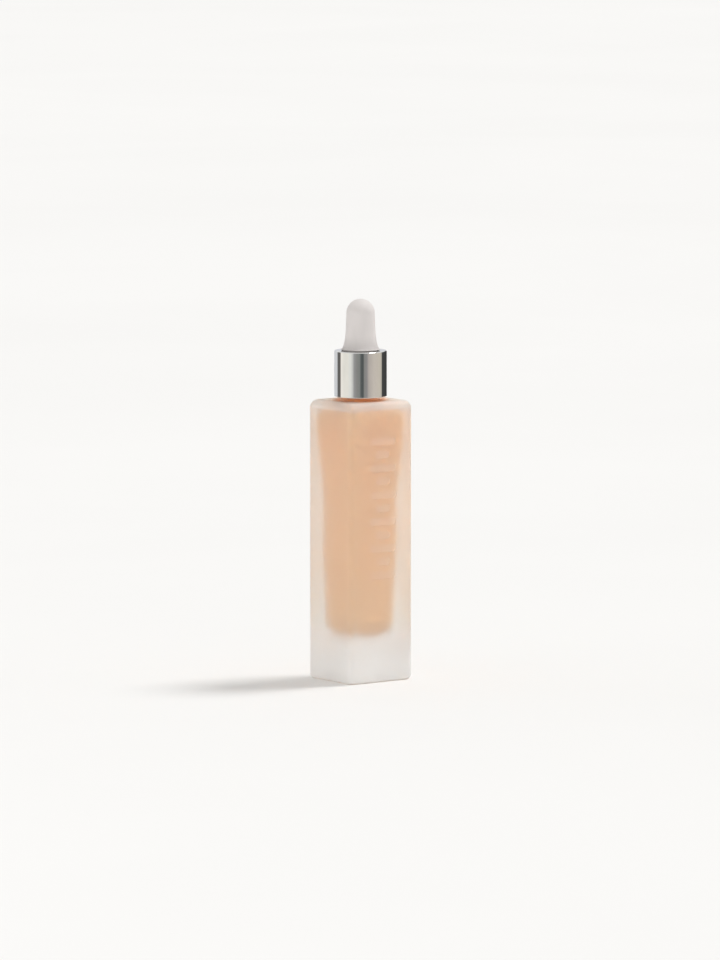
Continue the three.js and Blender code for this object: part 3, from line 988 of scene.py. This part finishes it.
class BOTTLE_OT_pipette(bpy.types.Operator):
    """Draws the glass pipette and the foundation that stands in it"""

    bl_idname = "bottle.pipette"
    bl_label = "Pipette"

    def execute(self, context):
        closure, contents = context.scene.bottle_closure, context.scene.bottle_contents
        low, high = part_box("glass_pipette")
        bore = closure.pipette - closure.pipette_wall
        taper = low.z + closure.taper
        tube = turned("pipette_tube", rounded([
            (closure.tip_bore, low.z, 0.3 * MM),
            (closure.tip, low.z, 0.35 * MM),
            (closure.tip + 0.2 * MM, low.z + 4 * MM, 6 * MM),
            (closure.pipette, taper, 6 * MM),
            (closure.pipette, high.z, 0.45 * MM),
            (bore, high.z, 0.45 * MM),
            (bore, taper, 6 * MM),
            (closure.tip_bore + 0.2 * MM, low.z + 4 * MM, 6 * MM),
        ]), steps=64)
        finish_piece(tube, "dropper_stem", ["glass_pipette"], clear_glass())
        grip = 0.02 * MM  # the liquid wets the glass, with no air between them
        charge = turned("pipette_charge", rounded([
            (0, low.z + 0.5 * MM, 0),
            (closure.tip_bore + grip, low.z + 0.6 * MM, 0),
            (closure.tip_bore + 0.2 * MM + grip, low.z + 4 * MM, 6 * MM),
            (bore + grip, taper, 6 * MM),
            (bore + grip, contents.charge_top + 0.5 * MM, 0),
            (bore - 0.5 * MM, contents.charge_top + 0.1 * MM, 0.3 * MM),
            (0, contents.charge_top, 0),
        ], closed=False), steps=64)
        finish = context.scene.bottle_finish
        film = liquid_foundation("foundation film", finish.film, darker(finish.film, 0.96))
        finish_piece(charge, "dropper_stem", [], film)
        return {"FINISHED"}


# ---- closure -----------------------------------------------------------------------------------


def cap_thread(glass, closure, cap):
    """Winds the ridge inside the screw cap from a small section, and joins it to the cap."""
    crest = glass.neck + closure.cap_bore - glass.crest
    root = closure.cap_bore + CAP_THREAD_SINK
    reach = (root - crest) / 2
    low = glass.thread_start - glass.pitch / 2 + CAP_THREAD_LIFT
    height = low + glass.pitch * CAP_THREAD_START
    bpy.ops.object.select_all(action="DESELECT")
    bpy.ops.mesh.primitive_plane_add(
        size=1.0, location=((crest + root) / 2, 0, height), rotation=(math.pi / 2, 0, 0)
    )
    ridge = begin("cap_ridge")
    mesh = bmesh.from_edit_mesh(ridge.data)
    for vert in mesh.verts:
        outer = vert.co.x > 0
        half = 0.65 * MM if outer else 0.35 * MM
        vert.co = (reach if outer else -reach, half if vert.co.y > 0 else -half, 0)
    bmesh.update_edit_mesh(ridge.data)
    bpy.ops.object.mode_set(mode="OBJECT")
    bpy.ops.object.transform_apply(location=True, rotation=True, scale=True)
    wind = ridge.modifiers.new("wind", "SCREW")
    wind.angle = TAU * glass.turns
    wind.screw_offset = glass.pitch * glass.turns
    wind.steps = wind.render_steps = 100
    bpy.ops.object.modifier_apply(modifier=wind.name)
    bpy.ops.object.mode_set(mode="EDIT")
    bpy.ops.mesh.select_all(action="SELECT")
    bpy.ops.mesh.fill_holes(sides=4)
    bpy.ops.mesh.select_all(action="SELECT")
    bpy.ops.transform.rotate(
        value=-TAU * CAP_THREAD_START, orient_axis="Z", center_override=(0, 0, 0)
    )
    close_up(ridge)
    join([cap, ridge])


def grip_ribs(closure, radius, low, high):
    """One rounded rib, and its copies all round the cap."""
    bpy.ops.object.select_all(action="DESELECT")
    bpy.ops.mesh.primitive_cylinder_add(
        vertices=10, radius=closure.rib, depth=high - low - 2 * MM,
        location=(radius, 0, (low + high) / 2),
    )
    rib = begin("rib")
    mesh = bmesh.from_edit_mesh(rib.data)
    for edge in mesh.edges:
        edge.select = abs(edge.verts[0].co.z - edge.verts[1].co.z) < WELD
    bmesh.update_edit_mesh(rib.data)
    bpy.ops.mesh.bevel(offset=0.6 * closure.rib, segments=2, affect="EDGES")
    close_up(rib)
    ribs = [rib]
    for i in range(1, closure.rib_count):
        copy = rib.copy()
        copy.data = rib.data.copy()
        bpy.context.collection.objects.link(copy)
        copy.rotation_euler.z = TAU * i / closure.rib_count
        ribs.append(copy)
    select(*ribs)
    bpy.ops.object.transform_apply(location=True, rotation=True, scale=True)
    return ribs


class BOTTLE_OT_screw_cap(bpy.types.Operator):
    """Turns the inner screw cap and gives it its thread and grip ribs"""

    bl_idname = "bottle.screw_cap"
    bl_label = "Screw Cap"

    def execute(self, context):
        glass, closure = context.scene.bottle_glass, context.scene.bottle_closure
        low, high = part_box("inner_cap")
        radius = high.x - closure.rib
        ceiling = high.z - CAP_ROOF
        cap = turned("screw_cap", rounded([
            (closure.cap_bore, low.z, 0.35 * MM),
            (radius, low.z, 0.2 * MM),
            (radius, high.z, 0.4 * MM),
            (closure.cap_hole, high.z, 0.2 * MM),
            (closure.cap_hole, ceiling, 0.15 * MM),
            (closure.cap_bore, ceiling, 0.3 * MM),
        ]))
        cap_thread(glass, closure, cap)
        cap = join([cap, *grip_ribs(closure, radius, low.z, high.z)])
        moulding = bpy.data.materials["white moulding"]
        finish_piece(cap, "dropper_cap", ["inner_cap"], moulding)
        return {"FINISHED"}


class BOTTLE_OT_collar(bpy.types.Operator):
    """Turns the thin polished metal collar"""

    bl_idname = "bottle.collar"
    bl_label = "Metal Collar"

    def execute(self, context):
        closure = context.scene.bottle_closure
        low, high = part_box("collar_shell")
        wall = closure.collar_wall
        edge = 0.9 * 0.49 * wall
        collar = turned("metal_collar", rounded([
            (high.x - wall, low.z, edge),
            (high.x, low.z, edge),
            (high.x, high.z, closure.collar_edge),
            (closure.collar_hole, high.z, edge),
            (closure.collar_hole, high.z - wall, edge),
            (high.x - wall, high.z - wall, 0.1 * MM),
        ], steps=12), steps=192)
        finish_piece(collar, "dropper_cap", ["collar_shell"], polished_metal())
        return {"FINISHED"}


class BOTTLE_OT_bulb(bpy.types.Operator):
    """Turns the hollow rubber bulb, from its flared foot to its dome"""

    bl_idname = "bottle.bulb"
    bl_label = "Rubber Bulb"

    def execute(self, context):
        closure = context.scene.bottle_closure
        low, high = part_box("rubber_bulb")
        foot = closure.bulb_foot

        def outside(z):
            rise = z - foot
            slow = closure.flare * math.exp(-rise / (4 * MM))
            quick = closure.lip_flare * math.exp(-rise / (0.6 * MM))
            return closure.bulb + slow + quick

        dome = high.z - closure.bulb
        heights = [0.2, 0.35, 0.55, 0.8, 1.1, 1.5, 2, 2.6, 3.3, 4.2, 5.3, 6.6, 8.2, 10, 11.8]
        flare = [(outside(foot + h * MM), foot + h * MM) for h in heights if foot + h * MM < dome]
        inner = closure.bulb - closure.bulb_wall
        flange_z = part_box("inner_cap")[1].z - 1.3 * MM
        neck = rounded([
            (inner, foot + 2.4 * MM, 0.0),
            (BULB_SOCKET, foot + 1.6 * MM, 0.2 * MM),
            (BULB_SOCKET, low.z, 0.2 * MM),
            (BULB_FLANGE, low.z, 0.3 * MM),
            (BULB_FLANGE, flange_z, 0.3 * MM),
            (BULB_THROAT, flange_z, 0.2 * MM),
            (BULB_THROAT, foot - 0.9 * MM, 0.1 * MM),
            (BULB_WAIST, foot - 0.75 * MM, 0.1 * MM),
            (BULB_WAIST, foot, 0.0),
        ], closed=False)
        rim = arc(outside(foot) - 0.2 * MM, foot + 0.2 * MM, 0.2 * MM, -90, -20, 3)
        bulb = turned("rubber_bulb_skin", [
            (0, high.z - closure.bulb_wall),
            *arc(0, dome, inner, 80, 0, 8),
            *neck, *rim, *flare,
            *arc(0, dome, closure.bulb, 4, 86, 14),
            (0, high.z),
        ])
        finish_piece(bulb, None, ["rubber_bulb"], white_rubber())
        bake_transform(bulb)
        return {"FINISHED"}


# ---- stage -------------------------------------------------------------------------------------

# What the polished collar mirrors, round the bottle: (degrees from the camera, towards the right
# of the view when positive, and the brightness there) for white cards, dark flags and the room.
SURROUND = [
    (-180, (0.62, 0.63, 0.66)), (-123, (0.60, 0.61, 0.63)), (-119, (0.12, 0.12, 0.12)),
    (-99, (0.13, 0.12, 0.11)), (-95, (0.86, 0.82, 0.76)), (-78, (0.76, 0.74, 0.68)),
    (-45, (0.72, 0.72, 0.68)), (-36, (0.58, 0.58, 0.56)), (-28, (0.30, 0.30, 0.30)),
    (-16, (0.24, 0.24, 0.23)), (-3, (0.21, 0.22, 0.21)), (1, (0.10, 0.11, 0.11)),
    (12, (0.08, 0.09, 0.09)), (16, (0.23, 0.23, 0.22)), (28, (0.27, 0.26, 0.26)),
    (36, (0.44, 0.40, 0.37)), (60, (0.54, 0.49, 0.44)), (96, (0.55, 0.50, 0.43)),
    (105, (0.46, 0.43, 0.37)), (108, (0.06, 0.06, 0.06)), (160, (0.04, 0.04, 0.04)),
    (168, (0.40, 0.40, 0.41)), (179, (0.62, 0.63, 0.66)),
]


def surround_material(turn):
    """Cards and flags round the bottle, as light that changes with the direction."""
    material = bpy.data.materials.new("studio surround")
    material.use_nodes = True
    tree = material.node_tree
    tree.nodes.remove(tree.nodes["Principled BSDF"])
    place = tree.nodes.new("ShaderNodeTexCoord").outputs["Object"]
    parts = add(tree, "ShaderNodeSeparateXYZ", {0: place}).outputs
    direction = calc(tree, "ARCTAN2", parts["Y"], parts["X"])
    share = remap(tree, direction, -math.pi, math.pi)
    ramp = add(tree, "ShaderNodeValToRGB", {0: share})
    camera = math.degrees(turn) - 90
    stops = sorted((((camera + degrees + 180) / 360) % 1, rgb) for degrees, rgb in SURROUND)
    elements = ramp.color_ramp.elements
    elements[0].position, elements[0].color = stops[0][0], tinted(stops[0][1])
    elements[1].position, elements[1].color = stops[-1][0], tinted(stops[-1][1])
    for position, rgb in stops[1:-1]:
        elements.new(position).color = tinted(rgb)
    light = add(tree, "ShaderNodeEmission", {0: ramp.outputs[0], 1: 1.08})
    out = tree.nodes["Material Output"]
    tree.links.new(light.outputs[0], out.inputs["Surface"])
    return material


def surround_world(stage):
    """A soft white tent: brighter at eye level than overhead, and the floor's tone to the camera."""
    world = bpy.data.worlds.new("soft tent")
    world.use_nodes = True
    tree = world.node_tree
    tree.nodes.clear()
    way = tree.nodes.new("ShaderNodeTexCoord").outputs["Generated"]
    bright = spread(tree, upward(tree, way), stage.sky_low, stage.sky_high)
    tent = add(tree, "ShaderNodeBackground", {0: (1, 1, 0.985, 1), 1: bright}).outputs[0]
    seen = add(tree, "ShaderNodeBackground", {0: (0.947, 0.939, 0.926, 1), 1: 1.0}).outputs[0]
    camera = tree.nodes.new("ShaderNodeLightPath").outputs["Is Camera Ray"]
    both = add(tree, "ShaderNodeMixShader", {0: camera, 1: tent, 2: seen}).outputs[0]
    out = tree.nodes.new("ShaderNodeOutputWorld")
    tree.links.new(both, out.inputs["Surface"])
    return world


class BOTTLE_OT_stage(bpy.types.Operator):
    """Sets the floor, the key light, the soft surround and the camera"""

    bl_idname = "bottle.stage"
    bl_label = "Studio"

    def execute(self, context):
        stage = context.scene.bottle_stage
        bpy.ops.object.select_all(action="DESELECT")
        bpy.ops.mesh.primitive_plane_add(size=40)
        floor = context.object
        floor.name = "studio_floor"
        floor.data.materials.append(plain_floor())

        bpy.ops.mesh.primitive_cylinder_add(
            vertices=96, radius=0.8, depth=0.45, end_fill_type="NOTHING", location=(0, 0, 0.225)
        )
        ring = context.object
        ring.name = "studio_cards"
        bpy.ops.object.transform_apply(location=True)
        ring.data.materials.append(surround_material(stage.turn))
        ring.visible_camera = ring.visible_diffuse = ring.visible_shadow = False
        ring.visible_transmission = ring.visible_volume_scatter = False

        back = Vector((
            math.sin(stage.turn) * math.cos(stage.rise),
            -math.cos(stage.turn) * math.cos(stage.rise),
            math.sin(stage.rise),
        ))
        right = Vector((math.cos(stage.turn), math.sin(stage.turn), 0))
        camera = bpy.data.objects.new("camera", bpy.data.cameras.new("camera"))
        context.collection.objects.link(camera)
        camera.location = Vector((0, 0, stage.aim)) + right * stage.aside + back * stage.distance
        camera.rotation_euler = (-back).to_track_quat("-Z", "Y").to_euler()
        camera.data.lens = camera.data.sensor_width * stage.distance / stage.view_height
        camera.data.clip_end = 100
        context.scene.camera = camera

        bpy.ops.object.light_add(type="SUN", location=(1, -0.2, 1.5))
        sun = context.object
        sun.name = "key_light"
        towards = Vector((0.4624, -0.0803, 0.8829))
        sun.rotation_euler = towards.to_track_quat("Z", "Y").to_euler()
        sun.data.energy = stage.sun
        sun.data.angle = stage.softness
        bpy.ops.object.light_add(type="AREA", location=(-1.2, 0.1, 0.25))
        fill = context.object
        fill.name = "fill_card"
        fill.rotation_euler = Vector((-1.2, 0.1, 0.22)).to_track_quat("Z", "Y").to_euler()
        fill.data.size = 0.6
        fill.data.energy = stage.fill
        fill.visible_glossy = False
        context.scene.world = surround_world(stage)
        context.scene.view_settings.view_transform = "Standard"
        # light passes back and forth between the liquid and the frosted skin many times
        context.scene.cycles.max_bounces = 32
        context.scene.cycles.diffuse_bounces = 16
        context.scene.cycles.transmission_bounces = 24
        return {"FINISHED"}


# ---- add-on ------------------------------------------------------------------------------------

OPERATORS = [
    BOTTLE_OT_glass, BOTTLE_OT_contents, BOTTLE_OT_seals, BOTTLE_OT_pipette,
    BOTTLE_OT_screw_cap, BOTTLE_OT_collar, BOTTLE_OT_bulb, BOTTLE_OT_stage,
]


class BOTTLE_PT_build(bpy.types.Panel):
    """Lists the pieces of the bottle in the order in which they are built"""

    bl_idname = "BOTTLE_PT_build"
    bl_label = "Dropper Bottle"
    bl_space_type = "VIEW_3D"
    bl_region_type = "UI"
    bl_category = "Bottle"

    def draw(self, context):
        for operator in OPERATORS:
            self.layout.operator(operator.bl_idname)


CLASSES = [*SETTINGS.values(), *OPERATORS, BOTTLE_PT_build]


def register():
    for cls in CLASSES:
        bpy.utils.register_class(cls)
    for name, group in SETTINGS.items():
        setattr(bpy.types.Scene, name, bpy.props.PointerProperty(type=group))


def unregister():
    for name in SETTINGS:
        delattr(bpy.types.Scene, name)
    for cls in reversed(CLASSES):
        bpy.utils.unregister_class(cls)


def main():
    register()
    bpy.ops.bottle.glass()
    bpy.ops.bottle.contents()
    bpy.ops.bottle.seals()
    bpy.ops.bottle.pipette()
    bpy.ops.bottle.screw_cap()
    bpy.ops.bottle.collar()
    bpy.ops.bottle.bulb()
    bpy.ops.bottle.stage()


if __name__ == "__main__":
    main()
